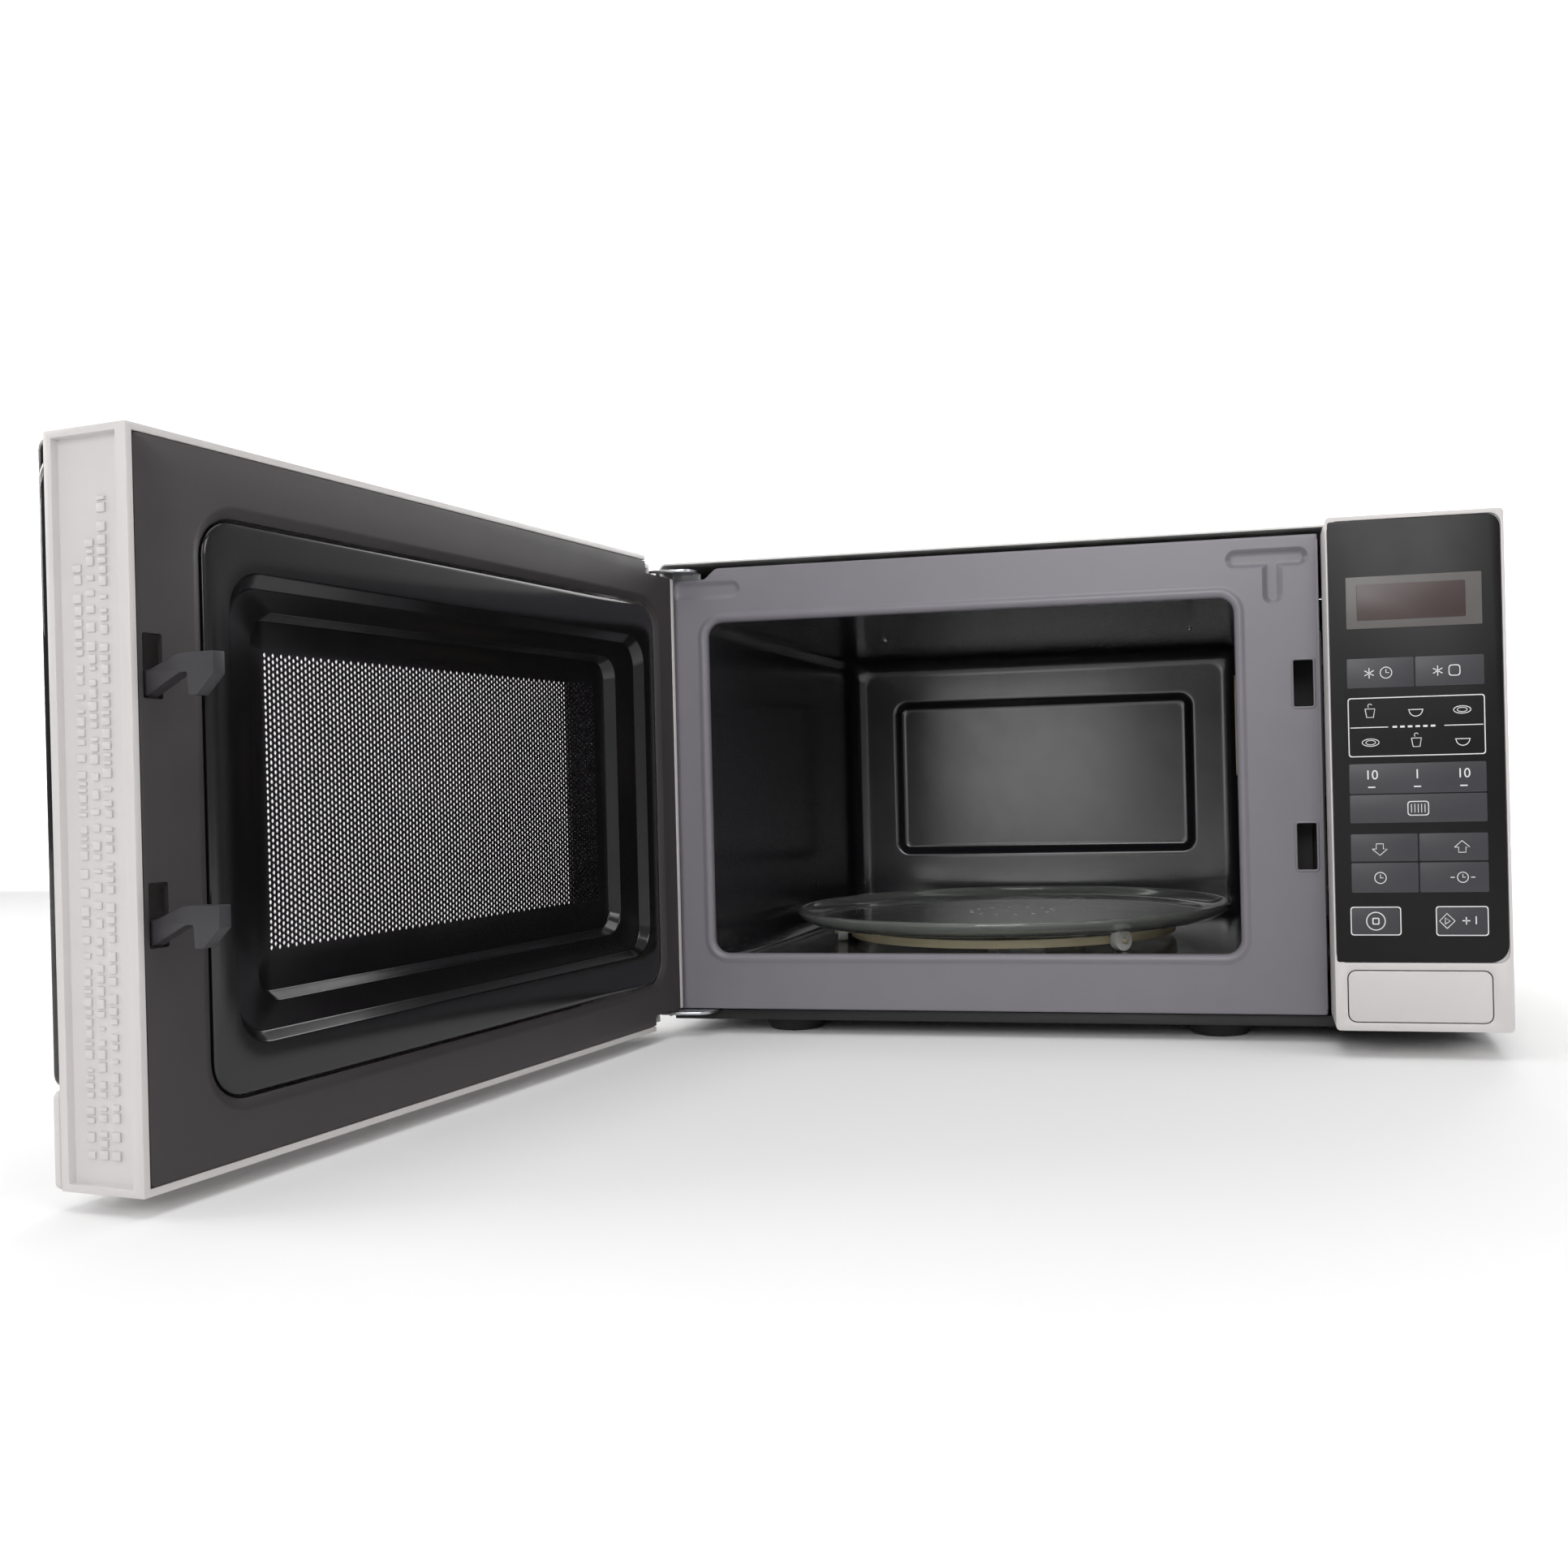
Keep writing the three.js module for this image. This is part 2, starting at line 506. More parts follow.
const YOKE = { width: 62, halfY: 44, halfZ: 42, wall: 2 };
const FINS = { count: 6, first: 12, pitch: 8, thick: 1.2 };
const FILTER_BOX = { width: 15, halfY: 22, halfZ: 26 };
const ANODE_RADIUS = 20;
const aboutAntenna = (halfY, halfZ) => [
  [ANTENNA.y - halfY, ANTENNA.y + halfY], [ANTENNA.z - halfZ, ANTENNA.z + halfZ],
];
function magnetron() {
  const left = guideRight + GAP;
  const right = left + YOKE.width;
  const centre = [ANTENNA.y, ANTENNA.z];
  const yoke = hollowBox([left, right], ...aboutAntenna(YOKE.halfY, YOKE.halfZ), YOKE.wall, ['front', 'back']);
  const anode = rod('X', [left + YOKE.wall, right - YOKE.wall], centre, ANODE_RADIUS, 24);
  const fins = Array.from({ length: FINS.count }, (_, number) => block(
    fromEdge(left, FINS.first + number * FINS.pitch, FINS.thick),
    ...aboutAntenna(YOKE.halfY - 2, YOKE.halfZ - 1),
  ));
  const antenna = rod('X', [left - 22, left + YOKE.wall], centre, ANTENNA.radius, 20);
  const filterBox = block(
    [right - 1, right - 1 + FILTER_BOX.width], ...aboutAntenna(FILTER_BOX.halfY, FILTER_BOX.halfZ),
  );
  return joined(yoke, anode, ...fins, antenna, filterBox);
}
add('magnetron', magnetron(), GALVANISED);
const CUTOUT = { radius: 8, bodyTop: 7, bladeTop: 11, bladeHalf: 3 };
const yokeTop = ANTENNA.z + YOKE.halfZ;
const cutoutX = guideRight + YOKE.width / 2 - 1;
add('thermal_cutout', joined(
  rod('Z', [yokeTop + GAP, yokeTop + CUTOUT.bodyTop], [cutoutX, ANTENNA.y], CUTOUT.radius, 20),
  block(
    about(cutoutX, CUTOUT.bladeHalf),
    about(ANTENNA.y, 2 * CUTOUT.bladeHalf),
    [yokeTop + CUTOUT.bodyTop - 0.5, yokeTop + CUTOUT.bladeTop],
  ),
), BLACK_PLASTIC);

const CORE = { x: [BAY_RIGHT - 94, BAY_RIGHT - 12], y: [52, 112], z: [BASE_TOP + GAP, BASE_TOP + 62] };
const CORE_WINDOW = { offset: 17.22, half: 9, yoke: 12 }; // beside the middle leg
function transformerCore() {
  const middle = (CORE.x[0] + CORE.x[1]) / 2;
  const windows = [-CORE_WINDOW.offset, CORE_WINDOW.offset].map((offset) => block(
    about(middle + offset, CORE_WINDOW.half), grown(CORE.y, 1), grown(CORE.z, -CORE_WINDOW.yoke),
  ));
  return cut(block(CORE.x, CORE.y, CORE.z), ...windows);
}
add('transformer_core', transformerCore(), CORE_STEEL);
function transformerWindings() {
  const middle = (CORE.x[0] + CORE.x[1]) / 2;
  const half = CORE_WINDOW.offset + CORE_WINDOW.half - GAP;
  const inner = CORE_WINDOW.offset - CORE_WINDOW.half + GAP;
  const z = grown(CORE.z, -CORE_WINDOW.yoke - GAP);
  const overhang = 16;
  const outline = roundedOutline(about(middle, half), grown(CORE.y, overhang), 5);
  return cut(prism(outline, 'Z', z, 2), block(about(middle, inner), grown(CORE.y, GAP), grown(z, 1)));
}
add('transformer_windings', transformerWindings(), COPPER);

const CAN = {
  x: [BAY_LEFT + 22, BAY_LEFT + 74], y: [170, 250], z: [BASE_TOP + GAP, BASE_TOP + 34], corner: 14,
};
const TERMINAL = { inset: 16, up: 17, radius: 3, length: 9 };
const terminals = [CAN.x[0] + TERMINAL.inset, CAN.x[1] - TERMINAL.inset].map((x) => rod(
  'Y', [CAN.y[0] - TERMINAL.length, CAN.y[0] + 1], [x, CAN.z[0] + TERMINAL.up], TERMINAL.radius, 12,
));
add('hv_capacitor', joined(
  prism(roundedOutline(CAN.x, CAN.z, CAN.corner), 'Y', CAN.y, 5), ...terminals,
), GALVANISED);
const STRAP = { y: [204, 216], thick: 1.2, foot: 12, farLegUp: 4 };
function capacitorClamp() {
  const outside = GAP + STRAP.thick;
  const loop = (by, y) => prism(
    roundedOutline(grown(CAN.x, by), grown(CAN.z, by), CAN.corner + by), 'Y', y, 5,
  );
  const below = block(grown(CAN.x, 20), grown(STRAP.y, 1), [CAN.z[0] - 20, CAN.z[0] + CAN.corner]);
  const bendTop = CAN.z[0] + CAN.corner + 1;
  const leg = block([CAN.x[0] - outside, CAN.x[0] - GAP], STRAP.y, [CAN.z[0], bendTop]);
  const foot = block([CAN.x[0] - STRAP.foot, CAN.x[0] - GAP], STRAP.y, [CAN.z[0], CAN.z[0] + STRAP.thick]);
  const farLeg = block([CAN.x[1] + GAP, CAN.x[1] + outside], STRAP.y, [CAN.z[0] + STRAP.farLegUp, bendTop]);
  return joined(cut(loop(outside, STRAP.y), loop(GAP, grown(STRAP.y, 1)), below), leg, foot, farLeg);
}
add('capacitor_clamp', capacitorClamp(), SILVER_STEEL);
const DIODE = { centre: [BAY_LEFT + 30, CAN.z[0] + 5], y: [136, 152], radius: 3.6, lead: 8, leadRadius: 0.8 };
add('hv_diode', joined(
  rod('Y', DIODE.y, DIODE.centre, DIODE.radius, 14),
  rod('Y', grown(DIODE.y, DIODE.lead), DIODE.centre, DIODE.leadRadius, 8),
), BLACK_PLASTIC);

const FAN = { x: BAY_MIDDLE, z: 128, front: BACK_INNER - 23, back: BACK_INNER - 6 };
const FAN_SHAFT = 1.6;
const fanCentre = [FAN.x, FAN.z];
const aboutFan = (halfX, low, high) => [[FAN.x - halfX, FAN.x + halfX], [FAN.z - low, FAN.z + high]];
function fanShroud() {
  const half = FAN_RADIUS + 8;
  const board = prism(roundedOutline([FAN.x - half, FAN.x + half], [FAN.z - half, FAN.z + half], 6), 'Y',
    [FAN.back - 2, FAN.back], 2);
  const ring = rod('Y', [FAN.front, FAN.back], fanCentre, FAN_RADIUS + 4, 36);
  const arms = block([FAN.x - half + 2, FAN.x + half - 2], [FAN.front, FAN.front + 3], [FAN.z - 5, FAN.z + 5]);
  const hub = rod('Y', [FAN.front, FAN.front + 3], fanCentre, 20, 24);
  return joined(
    cut(joined(board, ring), rod('Y', [FAN.front - 1, FAN.back + 1], fanCentre, FAN_RADIUS + 2, 36)),
    cut(joined(arms, hub), rod('Y', [FAN.front - 1, FAN.front + 4], fanCentre, 5, 16)),
  );
}
add('fan_shroud', fanShroud(), WHITE_NYLON);
const motorBlock = (back, depth, [x, z]) => block(x, [FAN.front - back, FAN.front - back + depth], z);
add('fan_motor', cut(
  joined(
    motorBlock(28, 28 - GAP, aboutFan(19, 17, 21)), // laminations
    motorBlock(24, 18, aboutFan(12, -20, 34)), // coil on top
  ),
  rod('Y', [FAN.front - 16, FAN.front], fanCentre, FAN_SHAFT + 0.8, 12),
), CORE_STEEL);
const BLADE = { count: 4, root: 8, thick: 1.6, chord: 22, pitch: 0.5 };
function fanBlade() {
  const hubY = [FAN.front + 4.5, FAN.back - 3];
  const shaft = rod('Y', [FAN.front - 8, hubY[0] + 2], fanCentre, FAN_SHAFT, 12);
  const hub = rod('Y', hubY, fanCentre, BLADE.root + 1, 20);
  const blades = Array.from({ length: BLADE.count }, (_, number) => {
    const length = FAN_RADIUS - BLADE.root;
    const blade = new THREE.BoxGeometry(length, BLADE.thick, BLADE.chord);
    blade.rotateX(BLADE.pitch);
    blade.translate(BLADE.root + length / 2, 0, 0);
    blade.rotateY(number * 2 * Math.PI / BLADE.count);
    blade.translate(FAN.x, (hubY[0] + hubY[1]) / 2, FAN.z);
    return solid(blade);
  });
  return joined(shaft, hub, ...blades);
}
add('fan_blade', fanBlade(), BLACK_PLASTIC);

const DUCT = { width: 26, back: 104, wall: 1.6 };
add('air_duct', hollowBox(
  [BAY_LEFT + GAP, BAY_LEFT + DUCT.width], [AIR_PORT.y[0] - 3.6, DUCT.back], grown(AIR_PORT.z, 6), DUCT.wall,
  ['left', 'back'],
), WHITE_NYLON);

const LAMP = { bulb: 6.4, bulbX: 8, neck: 5, socketX: 16, socketDepth: 18, socketHalf: 11 };
const lampX = BAY_LEFT + GAP;
const lampCentre = [LAMP_PORT.y, LAMP_PORT.z];
add('lamp_socket', cut(
  block(
    fromEdge(lampX, LAMP.socketX, LAMP.socketDepth), about(LAMP_PORT.y, LAMP.socketHalf),
    about(LAMP_PORT.z, LAMP.socketHalf),
  ),
  rod('X', fromEdge(lampX, LAMP.socketX - 2, 12), lampCentre, LAMP.neck + GAP, 16),
), WHITE_NYLON);
add('oven_lamp', joined(
  rod('X', fromEdge(lampX, LAMP.socketX - 4, 13), lampCentre, LAMP.neck, 16),
  solid(new THREE.SphereGeometry(LAMP.bulb, 16, 10).translate(lampX + LAMP.bulbX, ...lampCentre)),
), LAMP_GLASS);

const FILTER = { x: [BAY_LEFT + 14, BAY_RIGHT - 8], y: [206, 286], z: PLATE_HEIGHT - 27, thick: 1.6 };
const onFilter = (x, width, y, depth, height) => block(
  fromEdge(FILTER.x[0], x, width), fromEdge(FILTER.y[0], y, depth), [FILTER.z + 1, FILTER.z + height],
);
add('noise_filter_board', joined(
  block(FILTER.x, FILTER.y, [FILTER.z, FILTER.z + FILTER.thick]),
  onFilter(16, 22, 14, 22, 18), // choke
  onFilter(48, 26, 16, 12, 15), // capacitor
  rod('X', fromEdge(FILTER.x[0], 10, 22), [FILTER.y[0] + 62, FILTER.z + 6], 5, 14), // fuse
), CIRCUIT_BOARD);

// ---------------------------------------------------------------- turntable
const turnCentre = [CAVITY_MIDDLE, CAVITY_MIDDLE_Y];
const MOTOR = { radius: 25, top: CAVITY_FLOOR - SHEET - GAP, height: 16, earReach: 35, earHalf: 6 };
const COUPLER = { shaft: 3.4, hub: 9, reach: 20, lobeWidth: 9, lobes: 3 };
add('turntable_motor', cut(
  joined(
    rod('Z', [MOTOR.top - MOTOR.height, MOTOR.top], turnCentre, MOTOR.radius, 32),
    block(
      about(turnCentre[0], MOTOR.earReach), about(turnCentre[1], MOTOR.earHalf),
      [MOTOR.top - SHEET, MOTOR.top],
    ),
  ),
  rod('Z', [MOTOR.top - 7, MOTOR.top + 1], turnCentre, COUPLER.shaft + 0.4, 16),
), SILVER_STEEL);

const COUPLER_TOP = PLATE_UNDERSIDE - GAP;
function driveCoupler() {
  const shaft = rod('Z', [MOTOR.top - 6, CAVITY_FLOOR + 2], turnCentre, COUPLER.shaft, 16);
  const hub = rod('Z', [CAVITY_FLOOR + 1, COUPLER_TOP - 2], turnCentre, COUPLER.hub, 24);
  const lobes = Array.from({ length: COUPLER.lobes }, (_, number) => {
    const lobe = new THREE.BoxGeometry(COUPLER.reach, COUPLER.lobeWidth, COUPLER_TOP - CAVITY_FLOOR - 3);
    lobe.translate(COUPLER.reach / 2, 0, (COUPLER_TOP + CAVITY_FLOOR + 3) / 2);
    lobe.rotateZ(number * 2 * Math.PI / COUPLER.lobes);
    lobe.translate(...turnCentre, 0);
    return solid(lobe);
  });
  return joined(shaft, hub, ...lobes);
}
add('drive_coupler', driveCoupler(), WHITE_NYLON);

const rimTop = PLATE_UNDERSIDE + PLATE_RIM_HEIGHT;
const glassTop = PLATE_UNDERSIDE + GLASS;
function glassPlate() {
  const r = PLATE_RADIUS;
  const dish = turned([
    [0, PLATE_UNDERSIDE], [r - 12, PLATE_UNDERSIDE], [r - 4, PLATE_UNDERSIDE + 3.4], [r, rimTop - 2],
    [r - 0.6, rimTop - 0.4], [r - 2, rimTop], [r - 4, rimTop - 1.2], [r - 9, glassTop + 1.2],
    [r - 15, glassTop], [0, glassTop],
  ], turnCentre, 72);
  return dish;
}
add('glass_plate', glassPlate(), CLEAR_GLASS);

const RING = { radius: ROLLER_TRACK - 7, half: 1.6, axle: 1.5 };
function rollerRing() {
  const ring = turned(closed([
    [RING.radius - RING.half, ROLLER_AXIS_Z - 2.2], [RING.radius + RING.half, ROLLER_AXIS_Z - 2.2],
    [RING.radius + RING.half, ROLLER_AXIS_Z + 2.2], [RING.radius - RING.half, ROLLER_AXIS_Z + 2.2],
  ]), turnCentre, 60);
  const axles = rollerAngles().map((angle) => {
    const axle = new THREE.CylinderGeometry(RING.axle, RING.axle, ROLLER_WIDTH + 6, 12);
    axle.rotateZ(-Math.PI / 2);
    axle.translate(RING.radius + (ROLLER_WIDTH + 6) / 2, 0, 0);
    axle.rotateZ(angle).translate(...turnCentre, ROLLER_AXIS_Z);
    return solid(axle);
  });
  return joined(ring, ...axles);
}
function rollerAngles() {
  const first = THREE.MathUtils.degToRad(ROLLER_FIRST);
  return Array.from({ length: ROLLER_COUNT }, (_, number) => first + number * 2 * Math.PI / ROLLER_COUNT);
}
add('roller_ring', rollerRing(), BEIGE_NYLON);
rollerAngles().forEach((angle, number) => {
  const tread = new THREE.CylinderGeometry(ROLLER_RADIUS, ROLLER_RADIUS, ROLLER_WIDTH, 24);
  const bore = new THREE.CylinderGeometry(RING.axle + GAP, RING.axle + GAP, ROLLER_WIDTH + 2, 12);
  const place = (geometry) => solid(
    geometry.rotateZ(-Math.PI / 2).translate(ROLLER_TRACK, 0, 0).rotateZ(angle)
      .translate(...turnCentre, ROLLER_AXIS_Z),
  );
  add(`roller_${number + 1}`, place(tread).subtract(place(bore)), WHITE_NYLON);
});

// ---------------------------------------------------------------- control panel
const PANEL = { bottom: -0.6, top: PLATE_HEIGHT + 0.8 };
const FILM = { thick: 0.9, bottom: 31.8, top: PANEL.top - 2.4, corner: 5 };
const filmX = [PANEL_LEFT + 1, BODY_WIDTH - 1.8];
const DISPLAY_FRAME = {
  x: [PANEL_LEFT + 8.2, BODY_WIDTH - 9.7], z: [FILM.top - 51.4, FILM.top - 25.9],
};
const BUTTON = { x: [PANEL_LEFT + 6, BODY_WIDTH - 9.5], z: [3.7, 27.6], corner: 4, thick: 2.4, skirt: 7.5 };
const BUTTON_FIT = 0.5;
const SPRING_SEAT = { x: PANEL_LEFT + 56, y: PANEL_FRONT + 20.5, z: 15.6, half: 7, thick: 2 };
const faceBack = PANEL_FRONT + FILM.thick + GAP; // housing's face under the film

function panelHousing() {
  const x = [PANEL_LEFT, BODY_WIDTH];
  const z = [PANEL.bottom, PANEL.top];
  const shell = prism(roundedOutline(x, z, 2), 'Y', [PANEL_FRONT, 0], 2);
  const room = prism(roundedOutline(grown(x, -PLASTIC), grown(z, -PLASTIC), 1), 'Y',
    [faceBack + PLASTIC, 1], 1);
  const filmSeat = prism(roundedOutline(grown(filmX, GAP), grown([FILM.bottom, FILM.top], GAP), FILM.corner),
    'Y', [PANEL_FRONT - 1, faceBack], 3);
  const displayHole = block(DISPLAY_FRAME.x, [PANEL_FRONT - 1, 0], DISPLAY_FRAME.z);
  const buttonHole = prism(
    roundedOutline(grown(BUTTON.x, BUTTON_FIT), grown(BUTTON.z, BUTTON_FIT), BUTTON.corner), 'Y',
    [PANEL_FRONT - 1, 0], 3,
  );
  const springSeat = block(
    about(SPRING_SEAT.x, SPRING_SEAT.half), [SPRING_SEAT.y, SPRING_SEAT.y + SPRING_SEAT.thick],
    [PANEL.bottom + 1, SPRING_SEAT.z + SPRING_SEAT.half + 1],
  );
  return joined(cut(shell, room, filmSeat, displayHole, buttonHole), springSeat);
}
add('panel_housing', panelHousing(), WHITE_ABS);

const WINDOW_THICK = 1.5;
add('membrane_keypad', cut(
  prism(roundedOutline(filmX, [FILM.bottom, FILM.top], FILM.corner), 'Y',
    [PANEL_FRONT, PANEL_FRONT + FILM.thick], 3),
  block(grown(DISPLAY_FRAME.x, -GAP), [PANEL_FRONT - 1, 0], grown(DISPLAY_FRAME.z, -GAP)),
), BLACK_FILM);
add('display_window', block(
  grown(DISPLAY_FRAME.x, -2 * GAP), [PANEL_FRONT + GAP, PANEL_FRONT + GAP + WINDOW_THICK],
  grown(DISPLAY_FRAME.z, -2 * GAP),
), DISPLAY);

const BOARD = {
  y: [PANEL_FRONT + 10.5, PANEL_FRONT + 12.1], x: [PANEL_LEFT + 5, BODY_WIDTH - 5], z: [38, FILM.top - 5.4],
};
add('display_module', block(
  grown(DISPLAY_FRAME.x, -1), [PANEL_FRONT + WINDOW_THICK + 3 * GAP, BOARD.y[0] - GAP],
  grown(DISPLAY_FRAME.z, -1),
), BLACK_PLASTIC);
const onBoard = (x, height, z) => block(x, [BOARD.y[0], BOARD.y[1] + height], z);
add('control_board', joined(
  block(BOARD.x, BOARD.y, BOARD.z),
  onBoard(fromEdge(BOARD.x[0], 8, 22), 14, fromEdge(BOARD.z[0], 12, 26)), // transformer
  onBoard(fromEdge(BOARD.x[0], 36, 22), 5, fromEdge(BOARD.z[0], 62, 12)), // connector
), CIRCUIT_BOARD);
add('power_relay', block(
  fromEdge(BOARD.x[0], 10, 20), [BOARD.y[1] + GAP, BOARD.y[1] + 17], fromEdge(BOARD.z[0], 112, 29),
), DISPLAY);
const BUZZER = { inset: 16, up: 152, radius: 8, tall: 10 };
add('buzzer', rod(
  'Y', [BOARD.y[1] + GAP, BOARD.y[1] + BUZZER.tall], [BOARD.x[1] - BUZZER.inset, BOARD.z[0] + BUZZER.up],
  BUZZER.radius, 20,
), BLACK_PLASTIC);

// The open button, its stem and its return spring.
const buttonBack = PANEL_FRONT + BUTTON.thick;
function openButton() {
  const cap = prism(roundedOutline(BUTTON.x, BUTTON.z, BUTTON.corner - 0.4), 'Y', [PANEL_FRONT, buttonBack], 3);
  const skirtEnd = PANEL_FRONT + BUTTON.skirt;
  const inset = (by, corner) => roundedOutline(grown(BUTTON.x, -by), grown(BUTTON.z, -by), corner);
  const skirt = prism(inset(2, 2), 'Y', [buttonBack - 1, skirtEnd], 2);
  const hollow = prism(inset(4, 1), 'Y', [buttonBack, skirtEnd + 1], 1);
  const stem = block(STEM.x, [buttonBack - 1, STEM_END - STEM.tip], STEM.z);
  const tip = block(STEM.x, [STEM_END - STEM.tip - 1, STEM_END], STEM.tipZ);
  return joined(cut(joined(cap, skirt), hollow), stem, tip);
}
add('open_button', openButton(), WHITE_ABS);
add('button_spring', solid(
  coilSpring(SPRING_SEAT.y - GAP - (buttonBack + GAP), 3, 0.5, 7)
    .rotateX(-Math.PI / 2).translate(SPRING_SEAT.x, buttonBack + GAP, SPRING_SEAT.z),
), SILVER_STEEL);

// ---------------------------------------------------------------- door, built shut and then swung open
const door = new THREE.Group();
const doorParts = new THREE.Group();
door.position.set(PIVOT[0], PIVOT[1], 0);
door.rotation.z = -THREE.MathUtils.degToRad(DOOR_OPEN);
doorParts.position.set(-PIVOT[0], -PIVOT[1], 0);
door.add(doorParts);
oven.add(door);
const addToDoor = (name, body, material) => addTo(doorParts, name, body, material);

const innerFace = -DOOR_GAP;
const at = (depth) => innerFace - depth; // depth runs outwards from the door's inner face
const span = (near, far) => [at(far), at(near)];
const DOOR_DEPTH = FRONT_DEPTH - DOOR_GAP;
const GLASS_BOTTOM = 26.3;
const DOOR_GLASS = 3;
const RIM = 2.6; // frame's wall
const GRIP = { near: 4.7, far: 33, inset: 3, wall: 1.6 }; // recess along the free edge
const HINGE_POCKET = { x: 29, z: UPPER_ARM - 2.8 };
const LOWER_POCKET = { x: NOTCH.left + 5, z: 1.2 };
const frontWeb = [DOOR_DEPTH - DOOR_GLASS - GAP - 2.4, DOOR_DEPTH - DOOR_GLASS - GAP];
const WINDOW = {
  x: [CAVITY_LEFT + 24.6, CAVITY_RIGHT - 21.4], z: [CAVITY_FLOOR + 29, CAVITY_CEILING - 21.3],
};

function doorFrame() {
  const x = [0, DOOR_WIDTH];
  const z = [DOOR_BOTTOM, DOOR_TOP];
  const outer = block(x, span(0, frontWeb[1]), z);
  const gripWall = x[1] - GRIP.inset - GRIP.wall;
  const within = grown(z, -RIM);
  const room = block([x[0] + RIM, gripWall], span(-1, frontWeb[0]), within);
  const face = block([gripWall - 1, x[1] - RIM], span(-1, GRIP.near - GRIP.wall), within);
  const recess = block([x[1] - GRIP.inset, x[1] + 1], span(GRIP.near, GRIP.far), within);
  const look = block(WINDOW.x, span(frontWeb[0] - 1, frontWeb[1] + 1), WINDOW.z);
  const upperPocket = block([-1, HINGE_POCKET.x], span(-1, 14.5), [HINGE_POCKET.z, z[1] + 1]);
  const lowerPocket = block([-1, LOWER_POCKET.x], span(-1, 14.5), [z[0] - 1, LOWER_POCKET.z]);
  const bearing = (low, high) => block([0, 9], span(2.4, 11.6), [low, high]);
  const bores = rod('Z', [DOOR_BOTTOM - 2, DOOR_TOP + 2], PIVOT, PIN_RADIUS + PIN_PLAY, 24);
  const shell = cut(outer, room, face, recess, look);
  const bearings = joined(bearing(HINGE_POCKET.z - 12, HINGE_POCKET.z), bearing(LOWER_POCKET.z, 14));
  return cut(joined(shell, bearings), upperPocket, lowerPocket, bores);
}
addToDoor('door_frame', doorFrame(), WHITE_ABS);

addToDoor('door_glass', prism(
  roundedOutline([0.6, DOOR_WIDTH - 0.6], [GLASS_BOTTOM, DOOR_TOP - 0.6], 5), 'Y',
  span(DOOR_DEPTH - DOOR_GLASS, DOOR_DEPTH), 3,
), DARK_GLASS);
addToDoor('door_lower_trim', prism(
  roundedOutline([0, DOOR_WIDTH], [DOOR_BOTTOM, GLASS_BOTTOM - GAP], 2.5), 'Y',
  span(DOOR_DEPTH - DOOR_GLASS, DOOR_DEPTH), 3,
), WHITE_ABS);

const ENAMEL_PANEL = {
  x: [CAVITY_LEFT - 6.9, CAVITY_RIGHT + 10.6], z: [CAVITY_FLOOR - 5.5, CAVITY_CEILING + 7.7], corner: 13,
};
const PANEL_FIT = 1.1; // groove round the raised enamelled panel
const coverX = [RIM + GAP, DOOR_WIDTH - RIM - GAP];
const coverZ = [DOOR_BOTTOM + RIM + GAP, DOOR_TOP - RIM - GAP];
const HOOK_WAY = { width: HOOK_THICK + 2.8, height: 21.6 };

function hookWay(bottom, depths) {
  return block([HOOK_X - HOOK_WAY.width / 2, HOOK_X + HOOK_WAY.width / 2], span(...depths),
    [bottom - 0.4, bottom - 0.4 + HOOK_WAY.height]);
}
const CHOKE = { face: 2, lip: 9 };
function chokeCover() {
  const openX = grown(ENAMEL_PANEL.x, PANEL_FIT);
  const openZ = grown(ENAMEL_PANEL.z, PANEL_FIT);
  const sheet = prism(roundedOutline(coverX, coverZ, 1), 'Y', span(0, CHOKE.face), 1);
  const opening = prism(roundedOutline(openX, openZ, ENAMEL_PANEL.corner + PANEL_FIT), 'Y',
    span(-1, CHOKE.lip), 5);
  const pocket = block([0, HINGE_POCKET.x], span(-1, CHOKE.lip), [HINGE_POCKET.z, DOOR_TOP]);
  const lowerPocket = block([0, LOWER_POCKET.x], span(-1, CHOKE.lip), [DOOR_BOTTOM, LOWER_POCKET.z]);
  return cut(sheet, opening, pocket, lowerPocket, ...HOOK_BOTTOMS.map((bottom) => hookWay(bottom, [-1, 9])));
}
addToDoor('choke_cover', chokeCover(), DARK_ABS);

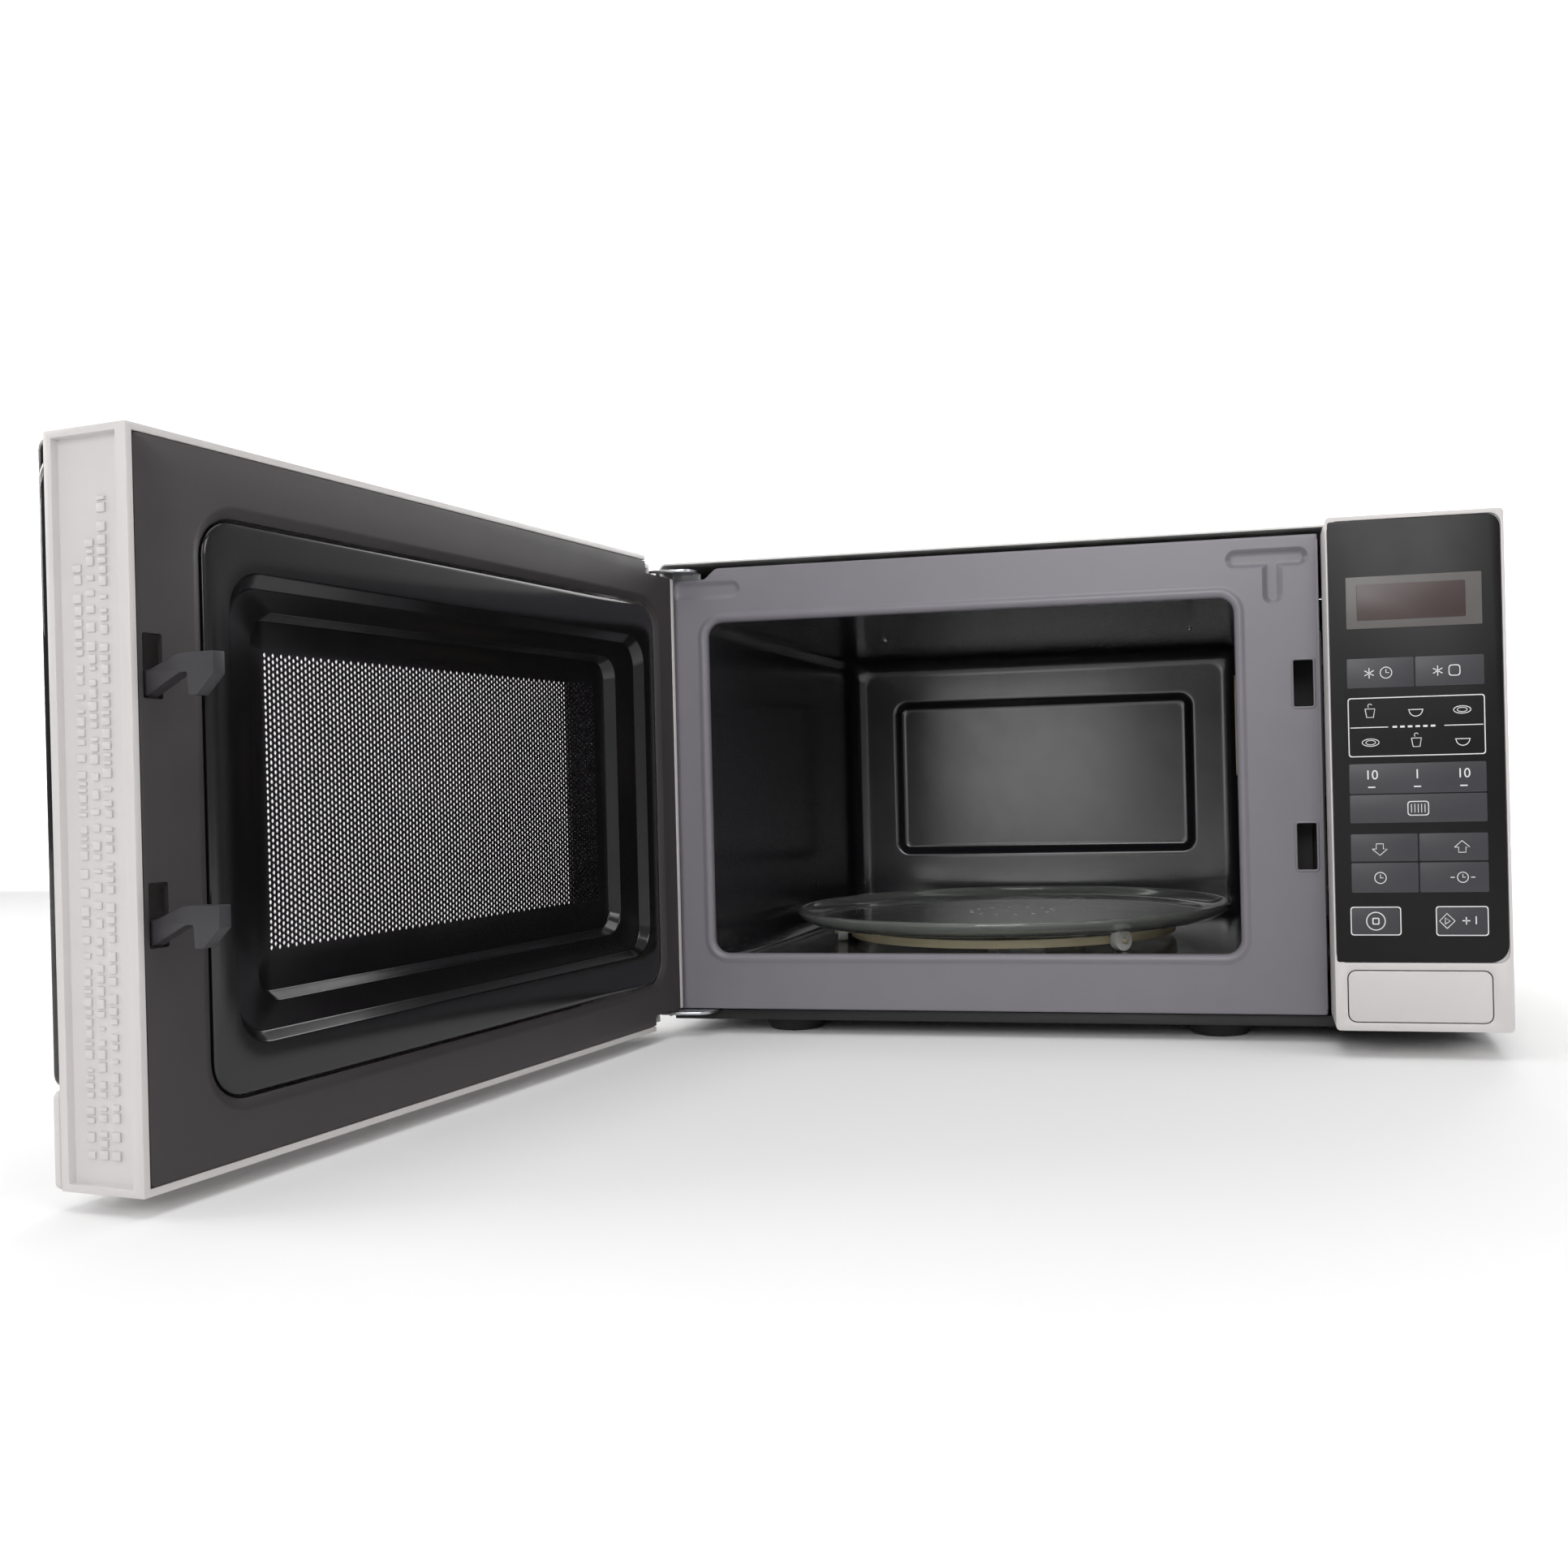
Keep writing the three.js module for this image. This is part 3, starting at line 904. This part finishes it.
// The steel door panel: a flange behind the choke cover, a raised frame and a dished window field.
const raised = ([low, high], below, above) => [low + below, high - above];
const FIELD = { x: grown(ENAMEL_PANEL.x, -35), z: raised(ENAMEL_PANEL.z, 33.5, 32), depth: 11, corner: 9 };
const TERRACE = { x: grown(ENAMEL_PANEL.x, -17), z: raised(ENAMEL_PANEL.z, 20.5, 23), depth: 5.5, corner: 12 };
const WELL = { x: grown(ENAMEL_PANEL.x, -10.5), z: raised(ENAMEL_PANEL.z, 16.5, 16.5), corner: 15 };
function enamelPanel() {
  const flange = prism(roundedOutline(grown(ENAMEL_PANEL.x, 9), grown(ENAMEL_PANEL.z, 9), 10), 'Y',
    span(CHOKE.face + GAP, CHOKE.face + GAP + SHEET), 2);
  const rim = prism(roundedOutline(ENAMEL_PANEL.x, ENAMEL_PANEL.z, ENAMEL_PANEL.corner), 'Y',
    span(0.2, CHOKE.face + GAP + SHEET), 4);
  const layer = (pan, inset, near, far) => prism(
    roundedOutline(grown(pan.x, inset), grown(pan.z, inset), pan.corner + inset), 'Y', span(near, far), 3,
  );
  const shell = joined(flange, rim, layer(WELL, SHEET, 3, TERRACE.depth + SHEET),
    layer(TERRACE, SHEET, TERRACE.depth, FIELD.depth + SHEET));
  return cut(shell, layer(WELL, 0, -1, TERRACE.depth), layer(TERRACE, 0, TERRACE.depth - 1, FIELD.depth),
    hookWay(HOOK_BOTTOMS[0], [-1, 20]), hookWay(HOOK_BOTTOMS[1], [-1, 20]));
}
addToDoor('door_inner_panel', enamelPanel(), BLACK_ENAMEL);

addToDoor('door_inner_film', block(
  grown(FIELD.x, 4), span(FIELD.depth + SHEET + 1.5, FIELD.depth + SHEET + 2.1), grown(FIELD.z, 4),
), CLEAR_FILM);

// Two hooks on one upright bar, which slides up against a spring inside the door.
const BAR = { near: 11, far: 16, low: 62, high: 182 };
function latchHooks() {
  const x = [HOOK_X - HOOK_THICK / 2, HOOK_X + HOOK_THICK / 2];
  const bar = block([x[0] - 0.5, x[1] + 0.5], span(BAR.near, BAR.far), [BAR.low, BAR.high]);
  const hooks = HOOK_BOTTOMS.map((bottom) => {
    const nose = at(-HOOK_REACH);
    const profile = polygon([
      [at(BAR.far - 1), bottom + 0.6], [at(0), bottom + 0.6], [at(-14), bottom + 7.6], [at(-17), bottom + 7.6],
      [at(-17.6), bottom], [at(-21), bottom], [nose, bottom + 6.6], [nose, bottom + 13.9],
      [at(-15.5), bottom + 13.9], [at(-12), bottom + 13.2], [at(-1), bottom + 9], [at(BAR.far - 1), bottom + 9],
    ]);
    return prism(profile, 'X', x, 1);
  });
  return joined(bar, ...hooks);
}
addToDoor('latch_hooks', latchHooks(), HOOK_NYLON);
const LATCH_SPRING_LENGTH = 21.7;
addToDoor('latch_spring', solid(
  coilSpring(LATCH_SPRING_LENGTH, 2.2, 0.45, 7)
    .translate(HOOK_X, at((BAR.near + BAR.far) / 2), BAR.high + GAP),
), SILVER_STEEL);

// ---------------------------------------------------------------- origin under the middle of the box
oven.updateMatrixWorld(true);
const extent = new THREE.Box3().setFromObject(oven, true);
oven.position.set(-(extent.min.x + extent.max.x) / 2, -(extent.min.y + extent.max.y) / 2, -extent.min.z);

export default oven;
